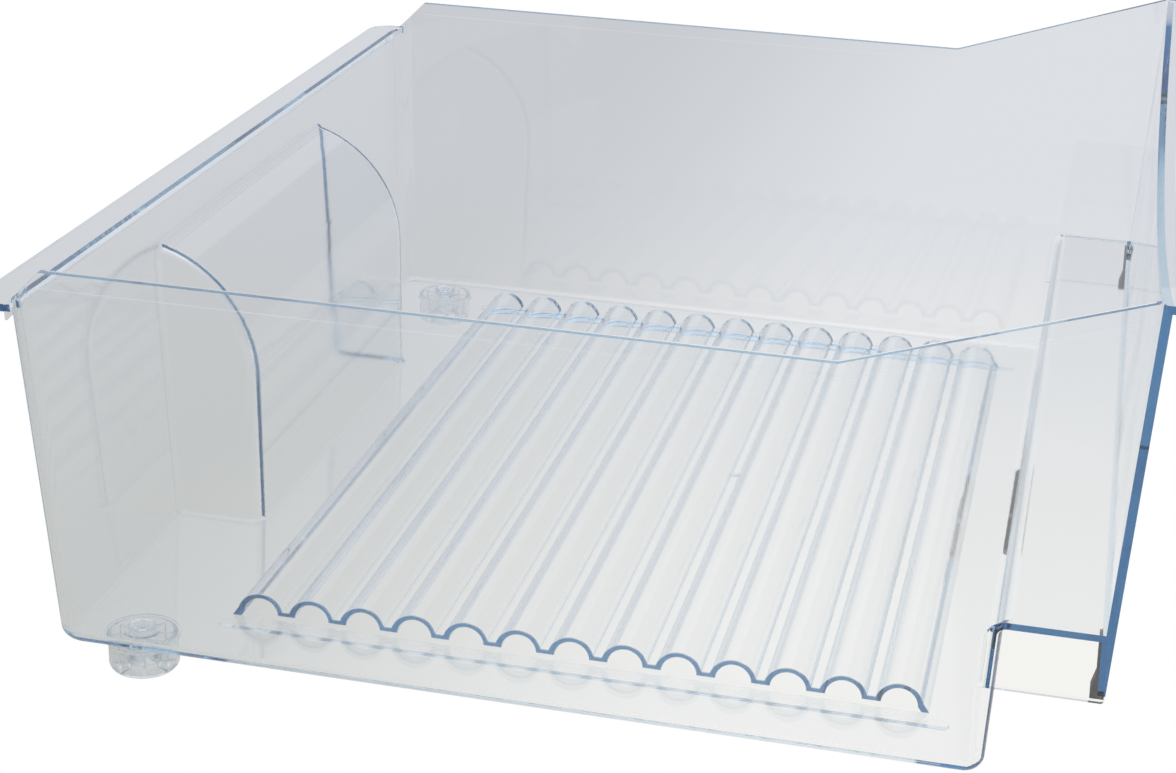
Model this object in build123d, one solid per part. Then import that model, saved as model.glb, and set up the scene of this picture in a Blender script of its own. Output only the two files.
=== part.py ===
from build123d import *

import math
import os

# Clear fridge drawer tub with a wavy floor, a front grip channel and two guide rollers.
# Millimetres. +Z is up, the front of the drawer faces -Y and its left side, seen from the front, is -X.
# The origin is below the middle of the drawer, on the level of the rollers' undersides.

# ---- overall sizes -------------------------------------------------------------------------------
overall_depth = 446.5          # rear edge of the rear flange to front edge of the front flange
rim_width = 501.0              # over the side walls, at the level part of the rim
floor_level = 18.6             # inside floor above the undersides of the rollers
side_rim_height = 160.7        # level part of the side rim above the inside floor
rear_rim_height = 146.0        # rear wall above the inside floor
front_rim_height = 196.3       # corners of the front wall above the inside floor
front_rim_dip = 26.0           # how far the front wall's top sags in the middle
ledge_height = 64.7            # top of the front ledge above the inside floor

# ---- walls ---------------------------------------------------------------------------------------
wall = 2.8                     # side and rear walls, riser and ledge
floor_wall = 3.0               # floor
front_wall = 3.2               # front wall above the ledge
skirt_root = 4.4               # front wall just below the ledge
skirt_wall = 2.6               # front wall at the skirt's lower edge
side_draft = 4.3               # lean of the side walls, degrees
rear_draft = 3.4               # lean of the rear wall, degrees
riser_draft = 1.7              # lean of the riser between floor and ledge, degrees
front_draft = 1.95             # lean of the front wall, degrees
rear_corner_radius = 12.0      # outside of the upright rear corners
riser_corner_radius = 8.0      # outside of the upright corners beside the riser
foot_radius = 6.0              # outside of the edges round the floor
ledge_edge_radius = 6.0        # rounded edge between riser and ledge

# ---- where things lie along the depth --------------------------------------------------------------
floor_rear = 24.0              # foot of the rear wall, inside, from the rear flange's rear edge
rim_rear = 29.5                # rear end of the level side rim, from the rear flange's rear edge
rim_rise_setback = 114.6       # where the side rim starts to rise, from the front flange's front edge
riser_setback = 52.7           # foot of the riser, inside, from the front flange's front edge
front_setback = 11.4           # front wall's inside face at ledge level, from the same edge

# ---- flanges, rim band and skirt -----------------------------------------------------------------
flange_thickness = 3.0
rear_flange_radius = 12.0      # corners of the rear flange, in plan
rear_flange_overhang = 0.6     # rear flange past the side walls, each side
front_flange_overhang = 2.6    # front flange past the side walls, each side
rim_band_height = 6.5          # thickened band along the side rims
rim_band_proud = 0.8
skirt_height = 36.8            # lower edges of the channel's end walls above the inside floor
skirt_edge_radius = 1.6        # front lower corners of those end walls
skirt_edge_lift = 2.4          # front wall's lower edge above them

# ---- wavy floor ----------------------------------------------------------------------------------
wave_pitch = 22.1
wave_height = 7.0              # ridges above the valleys
wave_valley = 3.4              # flat strip between two ridges
wave_lift = 3.8                # valleys above the floor
wave_end_inset = 40.19         # ends of the ridges from the side walls' outer faces, at the floor
wave_wall = 2.4
wave_rear = 95.9               # middle of the rearmost ridge, from the rear flange's rear edge
wave_front_room = 32.0         # least distance from the foremost ridge's middle to the riser's foot
wave_flank = 2.6               # spread of the outermost flanks on their way down to the floor

# ---- recess in the rear wall ---------------------------------------------------------------------
recess_width = 217.3           # over the hump that the recess makes inside the drawer
recess_depth = 39.0            # hump's foot in front of the rear wall's foot
recess_shoulder = 68.0         # where the hump's face starts to curve back
recess_height = 125.0          # where the hump meets the rear wall
recess_draft = 1.3             # lean of the hump's face, degrees
recess_edge_radius = 6.0       # rounded edges of the hump
recess_mouth_radius = 5.0      # rounded outline of the recess in the rear wall's outer face

# ---- runners under the floor ---------------------------------------------------------------------
runner_inset = 35.69           # centre lines from the side walls' outer faces, at the floor
runner_width = 5.2
runner_drop = 1.6
runner_rear = 79.5             # rear ends, from the rear flange's rear edge
runner_front_gap = 12.3        # front ends, behind the riser's foot

# ---- guide rollers -------------------------------------------------------------------------------
roller_inset = 19.04           # axes from the side walls' outer faces, at the floor
roller_depth = 52.6            # axes from the rear edge of the rear flange
roller_radius = 14.5
roller_lip = 1.0               # upper lip, proud of the drum
roller_lip_height = 1.7
roller_wall = 1.8
roller_floor = 2.2
roller_edge_radius = 3.6
roller_ribs = 8
roller_rib_thickness = 1.3
roller_rib_drop = 1.2          # ribs below the roller's rim
hub_wall = 2.6
pin_radius = 2.7
running_clearance = 0.08       # roller bore round its pin
end_clearance = 0.3            # above and below the roller's hub
boss_radius = 7.5              # ring under the floor that the roller runs against
boss_height = 0.7
pin_head_radius = 5.7
pin_head_height = 1.9
pin_head_edge = 0.9
pin_tip_height = 1.6           # pin's tip above the rollers' undersides
pin_bead = 0.9                 # snap bead, proud of the pin
pin_bead_height = 1.8
pin_slot = 1.6
pin_slot_depth = 7.0
pin_recess_clearance = 1.4     # round the snap bead

# ---- grey rubber pieces --------------------------------------------------------------------------
strip_reach = 2.1              # strips under the floor, behind the riser's foot
strip_proud = 0.8              # strips in front of the riser's foot
strip_drop = 1.9               # strips below the floor's underside
strip_rise = 3.6               # strips above the floor's underside
strip_edge_radius = 2.4        # lower front edge of the strips
strip_spans = {"right": (5.0, 58.0), "left": (-36.0, 0.0)}
strip_chamfer = 1.2            # cut corner at the outer end of each strip
buffer_length = 7.0            # skirt buffer, along the width
buffer_wall = 1.0              # its inside leg
buffer_rise = 21.6             # its inside leg above the front wall's lower edge
buffer_heel = 2.8              # thick lower end of the inside leg
buffer_heel_height = 1.6
buffer_waist_height = 7.6      # where the inside leg has thinned to its wall
buffer_foot = 1.5              # its foot under the front wall's lower edge
buffer_setback = 0.4           # its foot behind the front wall's outer face
buffer_gap = 0.3               # between its end and the side wall

# ---- gate mark -----------------------------------------------------------------------------------
gate_radius = 1.7
gate_height = 0.5              # above the valley it stands in
gate_valley = 8                # which valley, counted from the rear

# ---- values worked out from the sizes above ------------------------------------------------------
rim_rise = overall_depth - rim_rise_setback
floor_front = overall_depth - riser_setback
front_foot = overall_depth - front_setback
wave_count = 1 + math.floor((floor_front - wave_front_room - wave_rear) / wave_pitch)
runner_front = floor_front - runner_front_gap
floor_underside = floor_level - floor_wall
side_rim_z = floor_level + side_rim_height
rear_rim_z = floor_level + rear_rim_height
front_rim_z = floor_level + front_rim_height
ledge_z = floor_level + ledge_height
skirt_z = floor_level + skirt_height
skirt_edge_z = skirt_z + skirt_edge_lift
beyond = 60.0                  # how far large cutting shapes reach past what they cut
overlap = 1.0                  # how far small shapes pass the faces they cut or join
tolerance = 0.01               # for telling whether a point lies on a face
sky = front_rim_z + beyond
side_slope = math.tan(math.radians(side_draft))
rear_slope = math.tan(math.radians(rear_draft))
riser_slope = math.tan(math.radians(riser_draft))
front_slope = math.tan(math.radians(front_draft))
recess_slope = math.tan(math.radians(recess_draft))


def y_at(depth):
    """Y of a point that lies this far in front of the rear flange's rear edge."""
    return overall_depth / 2 - depth


def half_width(z, inset=0.0):
    """Half the width over the side walls at a height, less an inset on each side."""
    return rim_width / 2 + (z - side_rim_z) * side_slope - inset


def at_floor(inset):
    """X of what stands this far inside the right side wall's outer face, at the floor's underside."""
    return half_width(floor_underside, inset)


def rear_y(z, inset=0.0):
    """Y of the rear wall's inside face at a height, moved forwards by an inset."""
    return y_at(floor_rear + inset) + (z - floor_level) * rear_slope


def riser_y(z, inset=0.0):
    """Y of the riser's face towards the basin at a height, moved forwards by an inset."""
    return y_at(floor_front + inset) - (z - floor_level) * riser_slope


def front_y(z, inset=0.0):
    """Y of the front wall's inside face at a height, moved forwards by an inset."""
    return y_at(front_foot + inset) - (z - ledge_z) * front_slope


def side_slab(points):
    """A shape drawn in side view, from (y, z) points, and carried right across the drawer."""
    face = make_face(Plane.YZ * Polyline(*points, close=True))
    return extrude(face, amount=rim_width / 2 + beyond, both=True)


def front_slab(low, high, inset):
    """The space between the two leaning side walls from one height to another."""
    points = [
        (-half_width(low, inset), low),
        (half_width(low, inset), low),
        (half_width(high, inset), high),
        (-half_width(high, inset), high),
    ]
    face = make_face(Plane.XZ * Polyline(*points, close=True))
    return extrude(face, amount=overall_depth, both=True)


def upright_edges(solid, y_of, low):
    """The edges where an upright end face, whose Y at a height is y_of, meets the side walls."""

    def on_face(edge):
        start, end = edge.position_at(0), edge.position_at(1)
        tall = abs(start.Z - end.Z) > ledge_height / 2
        seated = all(abs(point.Y - y_of(point.Z)) < tolerance for point in (start, end))
        return tall and seated and min(start.Z, end.Z) < low + overlap

    return [edge for edge in solid.edges() if on_face(edge)]


def ledge_edge(solid):
    """The edge across the drawer where the riser meets the ledge."""

    def on_line(edge):
        middle = edge.position_at(0.5)
        level = abs(middle.Z - ledge_z) < wall + tolerance
        return level and abs(middle.X) < tolerance and middle.Y > riser_y(ledge_z, 2 * wall)

    return solid.edges().filter_by(Axis.X).filter_by(on_line)


def rounded_basin(profile, low, inset):
    """A block with the drawer's side view and leaning sides, rounded at its corners and foot."""
    block = (side_slab(profile) & front_slab(low, sky, inset)).solid()
    rear = upright_edges(block, lambda z: rear_y(z, inset - wall), low)
    block = fillet(rear, rear_corner_radius - inset)
    riser = upright_edges(block, lambda z: riser_y(z, wall - inset), low)
    block = fillet(riser, riser_corner_radius - inset)
    foot = block.faces().sort_by(Axis.Z)[0].edges()
    block = fillet(foot, foot_radius - inset)
    return fillet(ledge_edge(block), ledge_edge_radius - wall + inset)


def basin_outside():
    """The tub's outer body, without its hollow, its skirt and its flanges."""
    under_ledge = ledge_z - wall
    profile = [
        (rear_y(floor_underside, -wall), floor_underside),
        (rear_y(sky, -wall), sky),
        (front_y(sky, front_wall), sky),
        (front_y(under_ledge, front_wall), under_ledge),
        (riser_y(under_ledge, wall), under_ledge),
        (riser_y(floor_underside, wall), floor_underside),
    ]
    return rounded_basin(profile, floor_underside, 0.0)


def basin_inside():
    """The tub's hollow, down to the floor and the ledge."""
    profile = [
        (rear_y(floor_level), floor_level),
        (rear_y(sky), sky),
        (front_y(sky), sky),
        (front_y(ledge_z), ledge_z),
        (riser_y(ledge_z), ledge_z),
        (riser_y(floor_level), floor_level),
    ]
    return rounded_basin(profile, floor_level, wall)


def rim_profile(lift):
    """The side view of the rims, moved straight up or down, as (y, z) points from rear to front."""
    wall_top_y = rear_y(rear_rim_z)
    return [
        (y_at(0) + beyond, rear_rim_z + lift),
        (wall_top_y, rear_rim_z + lift),
        (y_at(rim_rear), side_rim_z + lift),
        (y_at(rim_rise), side_rim_z + lift),
        (front_y(front_rim_z), front_rim_z + lift),
        (y_at(overall_depth) - beyond, front_rim_z + lift),
    ]


def above_rims(lift):
    """Everything above the side view of the rims."""
    profile = rim_profile(lift)
    corners = [(profile[-1][0], sky + beyond), (profile[0][0], sky + beyond)]
    return side_slab(profile + corners)


def dip_edge(drop, reach):
    """The sagging line of the front wall's top: a three-point arc across the drawer, lowered by drop."""
    return ThreePointArc(
        (-reach, front_rim_z - drop),
        (0, front_rim_z - front_rim_dip - drop),
        (reach, front_rim_z - drop),
    )


def front_reach():
    """Half the width of the front flange."""
    return half_width(front_rim_z) + front_flange_overhang


def front_dip():
    """The space above the front wall's sagging top edge."""
    reach = front_reach()
    arc = dip_edge(0.0, reach)
    lid = Polyline((reach, front_rim_z), (reach, sky), (-reach, sky), (-reach, front_rim_z))
    face = make_face(Plane.XZ * Curve([arc, lid]))
    block = extrude(face, amount=overall_depth, both=True)
    back = front_y(front_rim_z - front_rim_dip)
    keep = Box(rim_width + beyond, overall_depth, 2 * sky, align=(Align.CENTER, Align.MAX, Align.CENTER))
    return block & Pos(0, back, 0) * keep


def rim_band():
    """The thicker band along the top of the side rims."""
    strip = above_rims(-rim_band_height) - above_rims(0.0)
    back, front = rear_y(side_rim_z), front_y(side_rim_z)
    length = Pos(0, (back + front) / 2, 0) * Box(rim_width + beyond, back - front, 2 * sky)
    low = rear_rim_z - 2 * rim_band_height
    sides = front_slab(low, sky, -rim_band_proud) - front_slab(low - overlap, sky + overlap, 0.0)
    return strip & length & sides


def rear_flange():
    """The level flange behind the rear wall, with rounded corners in plan."""
    back = y_at(0)
    front = rear_y(rear_rim_z) - wall / 2
    width = 2 * (half_width(rear_rim_z) + rear_flange_overhang)
    plate = Pos(0, (front + back) / 2, rear_rim_z - flange_thickness) * Box(
        width, back - front, flange_thickness, align=(Align.CENTER, Align.CENTER, Align.MIN)
    )
    corners = plate.edges().filter_by(Axis.Z).group_by(Axis.Y)[-1]
    return fillet(corners, rear_flange_radius)


def front_flange():
    """The forward flange that follows the front wall's sagging top edge."""
    reach = front_reach()
    upper = dip_edge(0.0, reach)
    lower = dip_edge(flange_thickness, reach)
    ends = [
        Line((side * reach, front_rim_z), (side * reach, front_rim_z - flange_thickness)) for side in (-1, 1)
    ]
    back = front_y(front_rim_z - front_rim_dip, front_wall / 2)
    face = Pos(0, back, 0) * make_face(Plane.XZ * Curve([upper, ends[1], lower, ends[0]]))
    band = extrude(face, amount=back - y_at(overall_depth), dir=(0, -1, 0))
    corners = band.edges().filter_by(Axis.Z).group_by(Axis.Y)[0]
    return fillet(corners, flange_thickness)


def skirt_inside_y(z):
    """Y of the skirt's inside face at a height: the wall thins towards its lower edge."""
    root_z = ledge_z - wall
    part = (z - skirt_z) / (root_z - skirt_z)
    return front_y(z, front_wall - skirt_wall - (skirt_root - skirt_wall) * part)


def skirt():
    """The lower part of the front wall and the side walls that close the ends of the grip channel."""
    top = ledge_z - wall / 2
    outline = [
        (riser_y(skirt_z, -riser_corner_radius), skirt_z),
        (riser_y(top, -riser_corner_radius), top),
        (front_y(top, front_wall), top),
        (front_y(skirt_z, front_wall), skirt_z),
    ]
    block = side_slab(outline) & front_slab(skirt_z, top, 0.0)
    low, high = skirt_z - overlap, top + overlap
    inner = [
        (riser_y(low, -2 * riser_corner_radius), low),
        (riser_y(high, -2 * riser_corner_radius), high),
        (skirt_inside_y(high), high),
        (skirt_inside_y(low), low),
    ]
    shell = block - (side_slab(inner) & front_slab(low, high, wall))
    low_front = shell.edges().group_by(Axis.Z)[0].group_by(Axis.Y)[0]
    shell = fillet(low_front, skirt_edge_radius)
    front = y_at(overall_depth)
    back = skirt_inside_y(low) + overlap
    notch = side_slab([(back, low), (front, low), (front, skirt_edge_z), (back, skirt_edge_z)])
    return shell - (notch & front_slab(low, high, wall))


def wave_centre(index):
    """Y of the middle of one ridge, counted from the rear."""
    return y_at(wave_rear + index * wave_pitch)


def ridge_radius():
    """Outside radius of a ridge, from its height over the valleys and its width between them."""
    half_chord = (wave_pitch - wave_valley) / 2
    return (half_chord**2 + wave_height**2) / (2 * wave_height)


def wave_section(inset, bottom):
    """The side view of the wavy field, thinner by an inset and closed off at a bottom height."""
    radius = ridge_radius() - inset
    valley_z = floor_level + wave_lift - inset
    top_z = floor_level + wave_lift + wave_height - inset
    axis_z = top_z - radius
    reach = math.sqrt(radius**2 - (valley_z - axis_z) ** 2)
    spread = reach + wave_flank * (valley_z - bottom) / wave_lift
    start = (wave_centre(0) + spread, bottom)
    end = (wave_centre(wave_count - 1) - spread, bottom)
    lines = []
    point = start
    for index in range(wave_count):
        middle = wave_centre(index)
        rear_foot, front_foot = (middle + reach, valley_z), (middle - reach, valley_z)
        lines.append(Line(point, rear_foot))
        lines.append(ThreePointArc(rear_foot, (middle, top_z), front_foot))
        point = front_foot
    lines.append(Polyline(point, end, start))
    return make_face(Plane.YZ * Curve(lines))


def wavy_block(inset, bottom):
    """The wavy field as a solid with flat ends, smaller by an inset, from a bottom height up."""
    return extrude(wave_section(inset, bottom), amount=at_floor(wave_end_inset + inset), both=True)


def recess_body(inset, low):
    """The round-topped body of the recess, from its face back past the rear wall."""
    foot_y = y_at(floor_rear + recess_depth - inset)
    shoulder_z = floor_level + recess_shoulder
    shoulder = (foot_y + recess_shoulder * recess_slope, shoulder_z)
    base = (foot_y - (floor_level - low) * recess_slope, low)
    top_z = floor_level + recess_height - inset
    top = (rear_y(top_z), top_z)
    face_line = Line(base, shoulder)
    roof = TangentArc(shoulder, top, tangent=(recess_slope, 1.0))
    back_y = y_at(0) + beyond
    run_out = roof % 1
    back_z = top_z + (back_y - top[0]) * run_out.Y / run_out.X
    rest = Polyline(top, (back_y, back_z), (back_y, low), base)
    face = make_face(Plane.YZ * Curve([face_line, roof, rest]))
    half = recess_width / 2 - inset
    body = extrude(face, amount=half, both=True)

    def rounded(edge):
        middle = edge.position_at(0.5)
        beside = abs(abs(middle.X) - half) < tolerance
        return beside and middle.Z > low + overlap and middle.Y < back_y - overlap

    return fillet(body.edges().filter_by(rounded), recess_edge_radius - inset)


def recess_outline(solid, inset):
    """The edges where the recess, smaller by an inset, meets the rear wall: its sides and its roof."""
    half = recess_width / 2 - inset
    roof_z = floor_level + recess_height

    def on_wall(point):
        return abs(point.Y - rear_y(point.Z, -inset)) < tolerance

    def along(edge):
        middle = edge.position_at(0.5)
        within = abs(middle.X) < half + tolerance and middle.Z < roof_z + overlap
        touching = on_wall(edge.position_at(0)) or on_wall(edge.position_at(1))
        return within and touching and (on_wall(middle) or middle.Z < floor_level + foot_radius)

    return solid.edges().filter_by(along)


def open_recess(outside):
    """The outer body with the recess in its rear wall."""
    body = (outside - recess_body(wall, floor_underside - overlap)).solid()
    return fillet(recess_outline(body, wall), recess_mouth_radius)


def hollow():
    """The space inside the tub, with the hump of the recess left standing in it."""
    space = (basin_inside() - recess_body(0.0, floor_underside - overlap)).solid()
    return fillet(recess_outline(space, 0.0), recess_mouth_radius - wall)


def runner(side):
    """One round-ended runner under the floor, along the drawer."""
    length = runner_front - runner_rear
    middle = y_at((runner_front + runner_rear) / 2)
    outline = Rot(0, 0, 90) * SlotOverall(length, runner_width)
    bar = extrude(outline, amount=runner_drop + floor_wall / 2)
    return Pos(side * at_floor(runner_inset), middle, floor_underside - runner_drop) * bar


def roller_place(side, z):
    """A place on one roller's axis."""
    return Pos(side * at_floor(roller_inset), y_at(roller_depth), z)


def boss(side):
    """The ring under the floor that a roller's hub turns against."""
    ring = Cylinder(
        boss_radius, boss_height + floor_wall / 2, align=(Align.CENTER, Align.CENTER, Align.MIN)
    )
    return roller_place(side, floor_underside - boss_height) * ring


def pin_hole(side):
    """The hole in floor and boss that a roller pin is pressed into."""
    return roller_place(side, floor_level) * Cylinder(pin_radius, 2 * (floor_wall + boss_height + overlap))


def gate_mark():
    """The small round stub left where the plastic entered the mould, in one valley of the waves."""
    middle = (wave_centre(gate_valley - 1) + wave_centre(gate_valley)) / 2
    top = floor_level + wave_lift + gate_height
    height = gate_height + wave_wall
    return Pos(0, middle, top) * Cylinder(
        gate_radius, height, align=(Align.CENTER, Align.CENTER, Align.MAX)
    )


def drawer_tub(outside):
    """The one-piece clear moulding, made from its outer body."""
    shell = open_recess(outside) + rim_band() + skirt()
    shell -= hollow()
    shell -= above_rims(0.0)
    shell -= front_dip()
    shell += rear_flange()
    shell += front_flange()
    shell += wavy_block(0.0, floor_level - floor_wall / 2)
    shell -= wavy_block(wave_wall, floor_underside - overlap)
    shell += gate_mark()
    for side in (-1, 1):
        shell += runner(side)
        shell += boss(side)
        shell -= pin_hole(side)
    return shell


def bead_top():
    """Height of the top of the pin's snap bead."""
    return pin_tip_height + pin_bead_height


def guide_roller(side):
    """One cup-shaped roller, open at the top, with ribs round the hub that turns on the pin."""
    top = floor_underside - boss_height - end_clearance
    ceiling = bead_top() + end_clearance
    bore = pin_radius + running_clearance
    hub = bore + hub_wall
    recess = pin_radius + pin_bead + pin_recess_clearance
    lip = roller_radius + roller_lip
    inner = roller_radius - roller_wall
    outline = [
        (bore, top),
        (bore, ceiling),
        (recess, ceiling),
        (recess, 0),
        (roller_radius, 0),
        (roller_radius, top - roller_lip_height),
        (lip, top - roller_lip_height),
        (lip, top),
        (inner, top),
        (inner, roller_floor),
        (recess + hub_wall, roller_floor),
        (recess + hub_wall, ceiling),
        (hub, ceiling + hub_wall),
        (hub, top),
    ]
    body = revolve(make_face(Plane.XZ * Polyline(*outline, close=True)), Axis.Z)
    low_edge = body.edges().group_by(Axis.Z)[0].sort_by(SortBy.RADIUS)[-1]
    body = fillet(low_edge, roller_edge_radius)
    inner_end = hub - hub_wall / 2
    rib = Pos(inner_end, 0, roller_floor / 2) * Box(
        roller_radius - roller_wall / 2 - inner_end,
        roller_rib_thickness,
        top - roller_rib_drop - roller_floor / 2,
        align=(Align.MIN, Align.CENTER, Align.MIN),
    )
    for index in range(roller_ribs):
        body += Rot(0, 0, 360 * (index + 0.5) / roller_ribs) * rib
    body -= Cylinder(recess, ceiling, align=(Align.CENTER, Align.CENTER, Align.MIN))
    return roller_place(side, 0.0) * body


def roller_pin(side):
    """One headed pin, pressed through the floor from above, with a slotted snap end."""
    tip = pin_tip_height - floor_level
    bead = bead_top() - floor_level
    outline = [
        (0, pin_head_height),
        (pin_head_radius - pin_head_edge, pin_head_height),
        (pin_head_radius, pin_head_height - pin_head_edge),
        (pin_head_radius, 0),
        (pin_radius, 0),
        (pin_radius, bead),
        (pin_radius + pin_bead, bead),
        (pin_radius, tip),
        (0, tip),
    ]
    pin = revolve(make_face(Plane.XZ * Polyline(*outline, close=True)), Axis.Z)
    slot = Pos(0, 0, tip) * Box(
        4 * pin_radius, pin_slot, pin_slot_depth, align=(Align.CENTER, Align.CENTER, Align.MIN)
    )
    return roller_place(side, floor_level) * (pin - slot)


def front_strip(side, outside):
    """One rubber strip round the riser's foot, shaped to the outer body that it is fixed to."""
    low_x, high_x = strip_spans[side]
    rear = y_at(floor_front - strip_reach)
    front = riser_y(floor_underside, wall) - strip_proud
    block = Pos((low_x + high_x) / 2, rear, floor_underside - strip_drop) * Box(
        high_x - low_x, rear - front, strip_drop + strip_rise, align=(Align.CENTER, Align.MAX, Align.MIN)
    )
    uprights = block.edges().filter_by(Axis.Z).group_by(Axis.Y)[-1].sort_by(Axis.X)
    block = chamfer(uprights[-1] if side == "right" else uprights[0], strip_chamfer)
    low_front = block.edges().filter_by(Axis.X).group_by(Axis.Z)[0].group_by(Axis.Y)[0]
    return fillet(low_front, strip_edge_radius) - outside


def skirt_buffer(side):
    """One rubber buffer clipped over the front wall's lower edge, just inside a side wall."""
    foot_z = skirt_edge_z - buffer_foot
    heel_z = skirt_edge_z + buffer_heel_height
    waist_z = skirt_edge_z + buffer_waist_height
    high = skirt_edge_z + buffer_rise
    toe = front_y(skirt_edge_z, front_wall - buffer_setback)
    outline = [
        (toe, skirt_edge_z),
        (toe, foot_z),
        (skirt_inside_y(foot_z) + buffer_heel, foot_z),
        (skirt_inside_y(heel_z) + buffer_heel, heel_z),
        (skirt_inside_y(waist_z) + buffer_wall, waist_z),
        (skirt_inside_y(high) + buffer_wall, high),
        (skirt_inside_y(high), high),
        (skirt_inside_y(skirt_edge_z), skirt_edge_z),
    ]
    face = make_face(Plane.YZ * Polyline(*outline, close=True))
    body = extrude(face, amount=buffer_length / 2, both=True)
    end_x = half_width(skirt_z, wall) - buffer_gap
    return Pos(side * (end_x - buffer_length / 2), 0, 0) * body


def build_pieces():
    """Every separate piece of the drawer, by name."""
    outside = basin_outside()
    pieces = {"drawer_tub": drawer_tub(outside)}
    for name, side in (("left", -1), ("right", 1)):
        pieces[f"guide_roller_{name}"] = guide_roller(side)
        pieces[f"roller_pin_{name}"] = roller_pin(side)
        pieces[f"front_strip_{name}"] = front_strip(name, outside)
        pieces[f"skirt_buffer_{name}"] = skirt_buffer(side)
    return pieces


os.makedirs("parts", exist_ok=True)
for piece_name, piece in build_pieces().items():
    export_step(piece, f"parts/{piece_name}.step")
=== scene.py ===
import logging
import math
from dataclasses import dataclass, field
from enum import Enum
from typing import Sequence

import bpy
from mathutils import Matrix, Vector


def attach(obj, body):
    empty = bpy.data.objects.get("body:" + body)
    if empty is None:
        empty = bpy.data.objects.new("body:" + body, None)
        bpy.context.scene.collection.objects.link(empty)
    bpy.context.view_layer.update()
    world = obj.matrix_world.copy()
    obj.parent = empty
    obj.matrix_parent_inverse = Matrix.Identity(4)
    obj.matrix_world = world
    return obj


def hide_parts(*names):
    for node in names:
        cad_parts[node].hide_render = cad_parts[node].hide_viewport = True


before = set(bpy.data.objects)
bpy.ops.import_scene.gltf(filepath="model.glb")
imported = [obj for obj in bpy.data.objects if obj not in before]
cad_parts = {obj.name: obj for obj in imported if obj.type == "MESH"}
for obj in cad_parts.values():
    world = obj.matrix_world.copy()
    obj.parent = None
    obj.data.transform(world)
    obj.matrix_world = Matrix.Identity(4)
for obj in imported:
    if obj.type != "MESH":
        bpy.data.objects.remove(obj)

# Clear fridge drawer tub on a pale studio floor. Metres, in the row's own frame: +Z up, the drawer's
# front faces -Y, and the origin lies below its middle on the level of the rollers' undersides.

LOG = logging.getLogger("drawer")
Colour = tuple[float, float, float]
Paint = Colour | bpy.types.NodeSocket


class Slot(Enum):
    """Material slots of the record."""

    TUB = "clear_plastic"
    ROLLER = "roller_plastic"
    PIN = "pin_plastic"
    RUBBER = "grey_rubber"


class Body(Enum):
    """Rigid bodies of the record."""

    TUB = "tub"
    LEFT_ROLLER = "left_roller"
    RIGHT_ROLLER = "right_roller"


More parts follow.
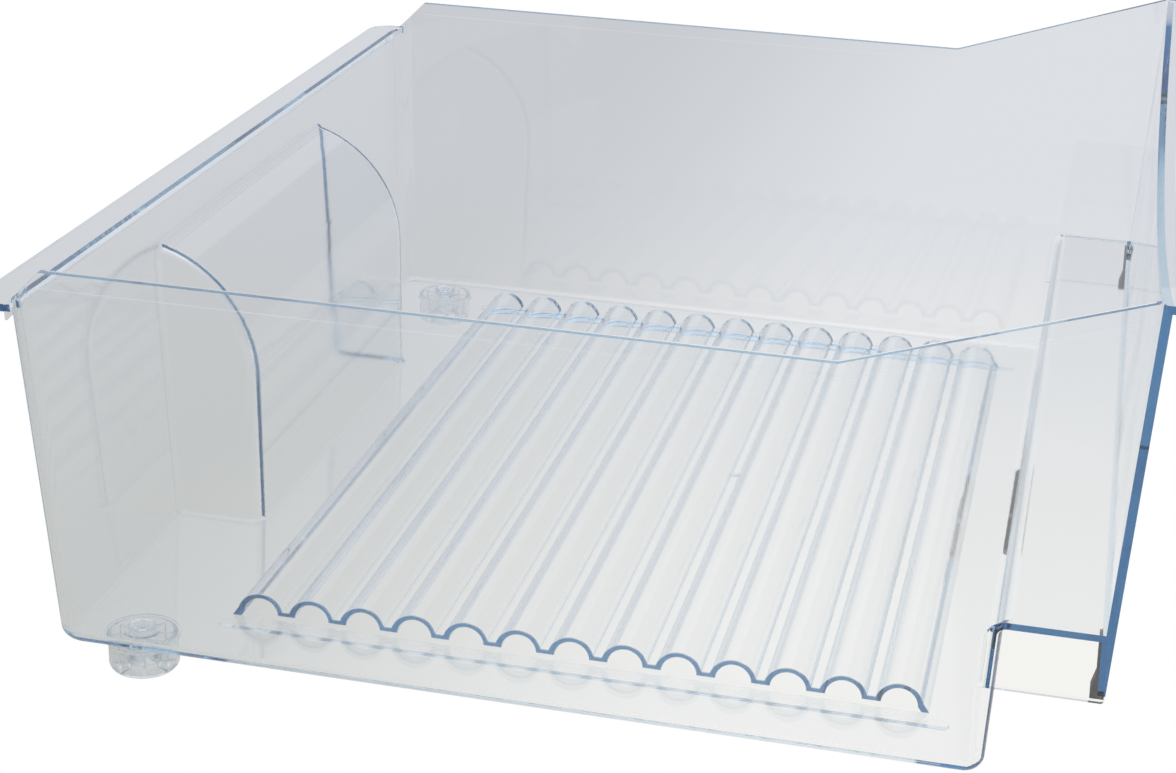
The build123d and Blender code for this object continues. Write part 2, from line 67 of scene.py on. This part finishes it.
class Shader:
    """A small helper that builds one material's node tree."""

    # a noise value lies mostly between these two
    NOISE_LOW = 0.3
    NOISE_HIGH = 0.7

    def __init__(self, name: str) -> None:
        """Makes an empty material.

        Args:
            name: The material's name.
        """
        self.material = bpy.data.materials.new(name)
        self.material.use_nodes = True
        self.tree = self.material.node_tree
        self.tree.nodes.clear()
        self.output = self.tree.nodes.new("ShaderNodeOutputMaterial")
        self.coordinates = self.tree.nodes.new("ShaderNodeTexCoord")

    def add(self, kind: str, **values: object) -> bpy.types.Node:
        """Adds a node and sets its attributes.

        Args:
            kind: The node's type.
            values: Attribute names and their values.

        Returns:
            The new node.
        """
        node = self.tree.nodes.new(kind)
        for name, value in values.items():
            setattr(node, name, value)
        return node

    def link(self, source: bpy.types.NodeSocket, target: bpy.types.NodeSocket) -> None:
        """Links two sockets.

        Args:
            source: The socket that gives the value.
            target: The socket that takes it.
        """
        self.tree.links.new(source, target)

    def noise(
        self, scale: float, detail: float, stretch: Sequence[float] = (1.0, 1.0, 1.0)
    ) -> bpy.types.NodeSocket:
        """Adds a noise pattern in the object's own metres.

        Args:
            scale: Features in each metre.
            detail: Octaves.
            stretch: Factors on the three coordinates.

        Returns:
            The noise value's socket.
        """
        mapping = self.add("ShaderNodeMapping")
        mapping.inputs["Scale"].default_value = stretch
        self.link(self.coordinates.outputs["Object"], mapping.inputs["Vector"])
        noise = self.add("ShaderNodeTexNoise")
        noise.inputs["Scale"].default_value = scale
        noise.inputs["Detail"].default_value = detail
        self.link(mapping.outputs["Vector"], noise.inputs["Vector"])
        return noise.outputs["Fac"]

    def spread(self, value: bpy.types.NodeSocket, low: float, high: float) -> bpy.types.NodeSocket:
        """Maps the middle of a noise onto a range.

        Args:
            value: The noise value.
            low: Result where the noise is low.
            high: Result where the noise is high.

        Returns:
            The mapped value's socket.
        """
        ranges = self.add("ShaderNodeMapRange")
        ranges.inputs["From Min"].default_value = self.NOISE_LOW
        ranges.inputs["From Max"].default_value = self.NOISE_HIGH
        ranges.inputs["To Min"].default_value = low
        ranges.inputs["To Max"].default_value = high
        self.link(value, ranges.inputs["Value"])
        return ranges.outputs["Result"]

    def share(self, value: bpy.types.NodeSocket, low: float, high: float) -> bpy.types.NodeSocket:
        """Turns a value into a smooth share between 0 and 1.

        Args:
            value: The value's socket.
            low: Value whose share is 0.
            high: Value whose share is 1.

        Returns:
            The share's socket.
        """
        ranges = self.add("ShaderNodeMapRange", interpolation_type="SMOOTHSTEP")
        ranges.inputs["From Min"].default_value = low
        ranges.inputs["From Max"].default_value = high
        self.link(value, ranges.inputs["Value"])
        return ranges.outputs["Result"]

    def mix(self, share: bpy.types.NodeSocket, first: Paint, second: Paint) -> bpy.types.NodeSocket:
        """Mixes two colours.

        Args:
            share: Share of the second colour.
            first: The first colour or its socket.
            second: The second colour or its socket.

        Returns:
            The mixed colour's socket.
        """
        mixer = self.add("ShaderNodeMix", data_type="RGBA")
        self.link(share, mixer.inputs["Factor"])
        for name, colour in (("A", first), ("B", second)):
            target = next(s for s in mixer.inputs if s.name == name and s.type == "RGBA")
            if isinstance(colour, tuple):
                target.default_value = (*colour, 1.0)
            else:
                self.link(colour, target)
        return next(s for s in mixer.outputs if s.type == "RGBA")

    def bump(self, heights: Sequence[tuple[bpy.types.NodeSocket, float]]) -> bpy.types.NodeSocket:
        """Stacks bumps on each other.

        Args:
            heights: Pairs of a height pattern and its height in metres.

        Returns:
            The normal's socket.
        """
        normal = None
        for pattern, height in heights:
            bump = self.add("ShaderNodeBump")
            bump.inputs["Distance"].default_value = height
            self.link(pattern, bump.inputs["Height"])
            if normal:
                self.link(normal, bump.inputs["Normal"])
            normal = bump.outputs["Normal"]
        return normal


@dataclass(frozen=True)
class ClearPlastic:
    """Polished clear moulding plastic that turns blue where light runs far through it."""

    name: str
    ior: float = 1.57
    roughness: tuple[float, float] = (0.012, 0.05)
    tint: Colour = (0.985, 0.99, 0.995)
    absorption: Colour = (0.0, 0.43, 0.70)
    density: float = 4.75
    wear_scale: float = 9.0
    wear_detail: float = 6.0
    ripple_scale: float = 16.0
    ripple_detail: float = 1.0
    ripple_stretch: tuple[float, float, float] = (1.0, 0.6, 1.5)
    ripple_height: float = 0.00012
    peel_scale: float = 420.0
    peel_detail: float = 2.0
    peel_height: float = 0.000002

    def build(self) -> bpy.types.Material:
        """Builds the material.

        Returns:
            The material.
        """
        shader = Shader(self.name)
        surface = shader.add("ShaderNodeBsdfPrincipled")
        surface.inputs["Base Color"].default_value = (*self.tint, 1.0)
        surface.inputs["Transmission Weight"].default_value = 1.0
        surface.inputs["IOR"].default_value = self.ior
        wear = shader.noise(self.wear_scale, self.wear_detail)
        shader.link(shader.spread(wear, *self.roughness), surface.inputs["Roughness"])
        ripple = shader.noise(self.ripple_scale, self.ripple_detail, self.ripple_stretch)
        peel = shader.noise(self.peel_scale, self.peel_detail)
        normal = shader.bump([(ripple, self.ripple_height), (peel, self.peel_height)])
        shader.link(normal, surface.inputs["Normal"])
        depth = shader.add("ShaderNodeVolumeAbsorption")
        depth.inputs["Color"].default_value = (*self.absorption, 1.0)
        depth.inputs["Density"].default_value = self.density
        shader.link(surface.outputs["BSDF"], shader.output.inputs["Surface"])
        shader.link(depth.outputs["Volume"], shader.output.inputs["Volume"])
        return shader.material


@dataclass(frozen=True)
class Rubber:
    """Matt dark grey rubber with a fine grain and a little dust."""

    name: str
    dark: Colour = (0.050, 0.049, 0.048)
    light: Colour = (0.105, 0.103, 0.100)
    roughness: tuple[float, float] = (0.62, 0.85)
    dust_scale: float = 160.0
    dust_detail: float = 5.0
    dust_range: tuple[float, float] = (0.35, 0.72)
    grain_scale: float = 1800.0
    grain_detail: float = 3.0
    grain_height: float = 0.00003

    def build(self) -> bpy.types.Material:
        """Builds the material.

        Returns:
            The material.
        """
        shader = Shader(self.name)
        surface = shader.add("ShaderNodeBsdfPrincipled")
        dust = shader.noise(self.dust_scale, self.dust_detail)
        ramp = shader.add("ShaderNodeValToRGB")
        for stop, place, colour in zip(
            ramp.color_ramp.elements, self.dust_range, (self.dark, self.light)
        ):
            stop.position = place
            stop.color = (*colour, 1.0)
        shader.link(dust, ramp.inputs["Fac"])
        shader.link(ramp.outputs["Color"], surface.inputs["Base Color"])
        shader.link(shader.spread(dust, *self.roughness), surface.inputs["Roughness"])
        grain = shader.noise(self.grain_scale, self.grain_detail)
        shader.link(shader.bump([(grain, self.grain_height)]), surface.inputs["Normal"])
        shader.link(surface.outputs["BSDF"], shader.output.inputs["Surface"])
        return shader.material


@dataclass
class MouldedPiece:
    """A separate piece, welded and smoothed from its CAD shape.

    A positive swell moves its faces outwards, so that rubber wets the plastic that it sits on. A negative one
    leaves a gap round a piece that is pressed into a hole. Lengths are in metres and angles in degrees.
    """

    node: str
    body: Body
    slot: Slot
    swell: float = 0.0
    weld_distance: float = 0.000002
    flat_angle: float = 0.2
    smooth_angle: float = 32.0
    normal_weight: int = 100
    thing: bpy.types.Object = field(init=False)

    def build(self) -> None:
        """Copies the CAD shape in place, welds it and smooths its round faces."""
        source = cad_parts[self.node]
        mesh = source.data.copy()
        mesh.transform(source.matrix_world)
        self.thing = bpy.data.objects.new(f"{self.node}_piece", mesh)
        bpy.context.scene.collection.objects.link(self.thing)
        bpy.ops.object.select_all(action="DESELECT")
        bpy.context.view_layer.objects.active = self.thing
        self.thing.select_set(True)
        bpy.ops.object.mode_set(mode="EDIT")
        bpy.ops.mesh.select_all(action="SELECT")
        bpy.ops.mesh.customdata_custom_splitnormals_clear()
        bpy.ops.mesh.remove_doubles(threshold=self.weld_distance)
        bpy.ops.mesh.dissolve_limited(angle_limit=math.radians(self.flat_angle))
        bpy.ops.mesh.normals_make_consistent(inside=False)
        bpy.ops.object.mode_set(mode="OBJECT")
        if self.swell:
            fit = self.thing.modifiers.new("fit", "DISPLACE")
            fit.mid_level = 0.0
            fit.strength = self.swell
            bpy.ops.object.modifier_apply(modifier=fit.name)
        bpy.ops.object.shade_smooth_by_angle(angle=math.radians(self.smooth_angle))
        weights = self.thing.modifiers.new("even normals", "WEIGHTED_NORMAL")
        weights.keep_sharp = True
        weights.weight = self.normal_weight
        bpy.ops.object.modifier_apply(modifier=weights.name)
        LOG.info("built %s with %d faces", self.node, len(mesh.polygons))

    def dress(self, finish: bpy.types.Material) -> None:
        """Gives the piece its finish and ties it to its body.

        Args:
            finish: The piece's material.
        """
        self.thing.data.materials.clear()
        self.thing.data.materials.append(finish)
        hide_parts(self.node)
        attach(self.thing, self.body.value)


@dataclass(frozen=True)
class StudioFloor:
    """A pale floor that carries the drawer on its rollers and its front strips.

    The camera sees plain white paper, and what shows through the plastic is a pale sheet that glows. Its
    glow is painted light and shade: it fades darker towards the back, over the y of fade_back, from the
    front pair of colours to the rear pair, and across the drawer, over the x of fade_across, from a pair's
    first colour to its second. A contact is a y and a z.
    """

    roller_contact: tuple[float, float] = (0.15975, 0.0)
    strip_contact: tuple[float, float] = (-0.1717, 0.0137)
    sink: float = 0.0001
    size: float = 16.0
    seen_white: float = 1.0
    fade_back: tuple[float, float] = (-0.10, 0.24)
    fade_across: tuple[float, float] = (-0.15, 0.60)
    # painted light and shade on the floor seen through the plastic: the front pair of glow colours is
    # brighter, the rear pair darker
    front_painted_light: tuple[Colour, Colour] = ((0.93, 0.915, 0.88), (0.73, 0.745, 0.78))
    rear_painted_shade: tuple[Colour, Colour] = ((0.585, 0.59, 0.575), (0.60, 0.61, 0.64))

    def build(self) -> None:
        """Lays the white sheet that the camera sees and the pale one that shows through the plastic."""
        run = self.roller_contact[0] - self.strip_contact[0]
        tilt = math.atan2(self.strip_contact[1] - self.roller_contact[1], run)
        seen = self.sheet("floor_seen", tilt)
        seen.visible_diffuse = seen.visible_glossy = seen.visible_transmission = False
        seen.visible_shadow = seen.visible_volume_scatter = False
        paper = Shader("floor_white")
        glow = paper.add("ShaderNodeEmission")
        glow.inputs["Strength"].default_value = self.seen_white
        paper.link(glow.outputs["Emission"], paper.output.inputs["Surface"])
        seen.data.materials.append(paper.material)
        through = self.sheet("floor_through", tilt)
        through.visible_camera = False
        through.data.materials.append(self.painted_light_paper())

    def painted_light_paper(self) -> bpy.types.Material:
        """Builds the glowing pale paper, whose painted light is brightest round the drawer's left front
        corner.

        Returns:
            The material.
        """
        board = Shader("floor_painted_light")
        axes = board.add("ShaderNodeSeparateXYZ")
        board.link(board.coordinates.outputs["Object"], axes.inputs["Vector"])
        across = board.share(axes.outputs["X"], *self.fade_across)
        back = board.share(axes.outputs["Y"], *self.fade_back)
        # painted light and shade: the brighter front glow is mixed into the darker rear glow towards the back
        colour = board.mix(back, board.mix(across, *self.front_painted_light), board.mix(across, *self.rear_painted_shade))
        glow = board.add("ShaderNodeEmission")
        board.link(colour, glow.inputs["Color"])
        board.link(glow.outputs["Emission"], board.output.inputs["Surface"])
        return board.material

    def sheet(self, name: str, tilt: float) -> bpy.types.Object:
        """Lays one large sheet under the drawer.

        Args:
            name: The sheet's name.
            tilt: How far it leans up towards the drawer's front, in radians.

        Returns:
            The sheet.
        """
        bpy.ops.mesh.primitive_plane_add(size=self.size)
        sheet = bpy.context.object
        sheet.name = name
        y, z = self.roller_contact
        place = Matrix.Translation((0.0, y, z - self.sink)) @ Matrix.Rotation(-tilt, 4, "X")
        sheet.data.transform(place)
        return sheet


@dataclass(frozen=True)
class SoftBox:
    """One large soft area light."""

    name: str
    place: tuple[float, float, float]
    aim: tuple[float, float, float]
    size: tuple[float, float]
    watts: float

    def build(self) -> None:
        """Hangs the light and turns it to what it lights."""
        light = bpy.data.lights.new(self.name, "AREA")
        light.shape = "RECTANGLE"
        light.size, light.size_y = self.size
        light.energy = self.watts
        lamp = bpy.data.objects.new(self.name, light)
        lamp.location = self.place
        aim = Vector(self.aim) - Vector(self.place)
        lamp.rotation_euler = aim.to_track_quat("-Z", "Y").to_euler()
        bpy.context.scene.collection.objects.link(lamp)


@dataclass(frozen=True)
class Studio:
    """The soft light round the drawer, and how it is traced and shown."""

    ambient: Colour = (0.60, 0.62, 0.66)
    clear_bounces: int = 256
    diffuse_bounces: int = 3
    transparent_bounces: int = 24
    lights: tuple[SoftBox, ...] = (
        SoftBox("overhead", place=(0.3, 0.2, 2.2), aim=(0.0, 0.0, 0.0), size=(2.4, 2.4), watts=14.0),
        SoftBox("behind", place=(2.2, 0.9, 1.2), aim=(0.0, 0.0, 0.1), size=(2.0, 1.4), watts=1.6),
    )

    def build(self) -> None:
        """Builds the lights and the ambient light, and sets the colour view and the light's bounces."""
        for light in self.lights:
            light.build()
        scene = bpy.context.scene
        world = bpy.data.worlds.new("studio")
        world.use_nodes = True
        world.node_tree.nodes["Background"].inputs["Color"].default_value = (*self.ambient, 1.0)
        scene.world = world
        scene.view_settings.view_transform = "Standard"
        scene.view_settings.look = "None"
        # light that is guided along the walls turns blue only if its long path isn't cut off
        scene.cycles.max_bounces = self.clear_bounces
        scene.cycles.transmission_bounces = self.clear_bounces
        scene.cycles.glossy_bounces = self.clear_bounces
        scene.cycles.diffuse_bounces = self.diffuse_bounces
        scene.cycles.transparent_max_bounces = self.transparent_bounces
        scene.cycles.caustics_refractive = True
        scene.cycles.caustics_reflective = True


@dataclass(frozen=True)
class PhotoCamera:
    """The camera, placed as it stood for the photograph, with its lens and its sensor in millimetres."""

    place: tuple[float, float, float] = (-1.01828, -0.1878, 0.47018)
    forward: tuple[float, float, float] = (0.908398, 0.199131, -0.36764)
    right: tuple[float, float, float] = (0.227371, -0.97319, 0.034686)
    lens: float = 71.71
    sensor: float = 36.0

    def build(self) -> None:
        """Builds the camera and makes it the scene's own."""
        forward = Vector(self.forward).normalized()
        right = Vector(self.right)
        right = (right - right.dot(forward) * forward).normalized()
        up = right.cross(forward)
        turn = Matrix((right, up, -forward)).transposed()
        camera = bpy.data.objects.new("camera", bpy.data.cameras.new("camera"))
        camera.data.lens = self.lens
        camera.data.sensor_width = self.sensor
        camera.matrix_world = Matrix.Translation(self.place) @ turn.to_4x4()
        bpy.context.scene.collection.objects.link(camera)
        bpy.context.scene.camera = camera


RUBBER_SWELL = 0.00003
PIN_SWELL = -0.00004
PIECES = (
    MouldedPiece("drawer_tub", Body.TUB, Slot.TUB),
    MouldedPiece("guide_roller_left", Body.LEFT_ROLLER, Slot.ROLLER),
    MouldedPiece("guide_roller_right", Body.RIGHT_ROLLER, Slot.ROLLER),
    MouldedPiece("roller_pin_left", Body.TUB, Slot.PIN, swell=PIN_SWELL),
    MouldedPiece("roller_pin_right", Body.TUB, Slot.PIN, swell=PIN_SWELL),
    MouldedPiece("front_strip_left", Body.TUB, Slot.RUBBER, swell=RUBBER_SWELL),
    MouldedPiece("front_strip_right", Body.TUB, Slot.RUBBER, swell=RUBBER_SWELL),
    MouldedPiece("skirt_buffer_left", Body.TUB, Slot.RUBBER, swell=RUBBER_SWELL),
    MouldedPiece("skirt_buffer_right", Body.TUB, Slot.RUBBER, swell=RUBBER_SWELL),
)


def main() -> None:
    """Builds the drawer and its studio."""
    logging.basicConfig(level=logging.INFO, format="%(name)s: %(message)s")
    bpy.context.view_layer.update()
    finishes = {
        Slot.TUB: ClearPlastic("clear_plastic").build(),
        Slot.ROLLER: ClearPlastic("roller_plastic", roughness=(0.05, 0.16)).build(),
        Slot.PIN: ClearPlastic("pin_plastic", roughness=(0.03, 0.1)).build(),
        Slot.RUBBER: Rubber("grey_rubber").build(),
    }
    for piece in PIECES:
        piece.build()
        piece.dress(finishes[piece.slot])
    StudioFloor().build()
    Studio().build()
    PhotoCamera().build()


if __name__ == "__main__":
    main()
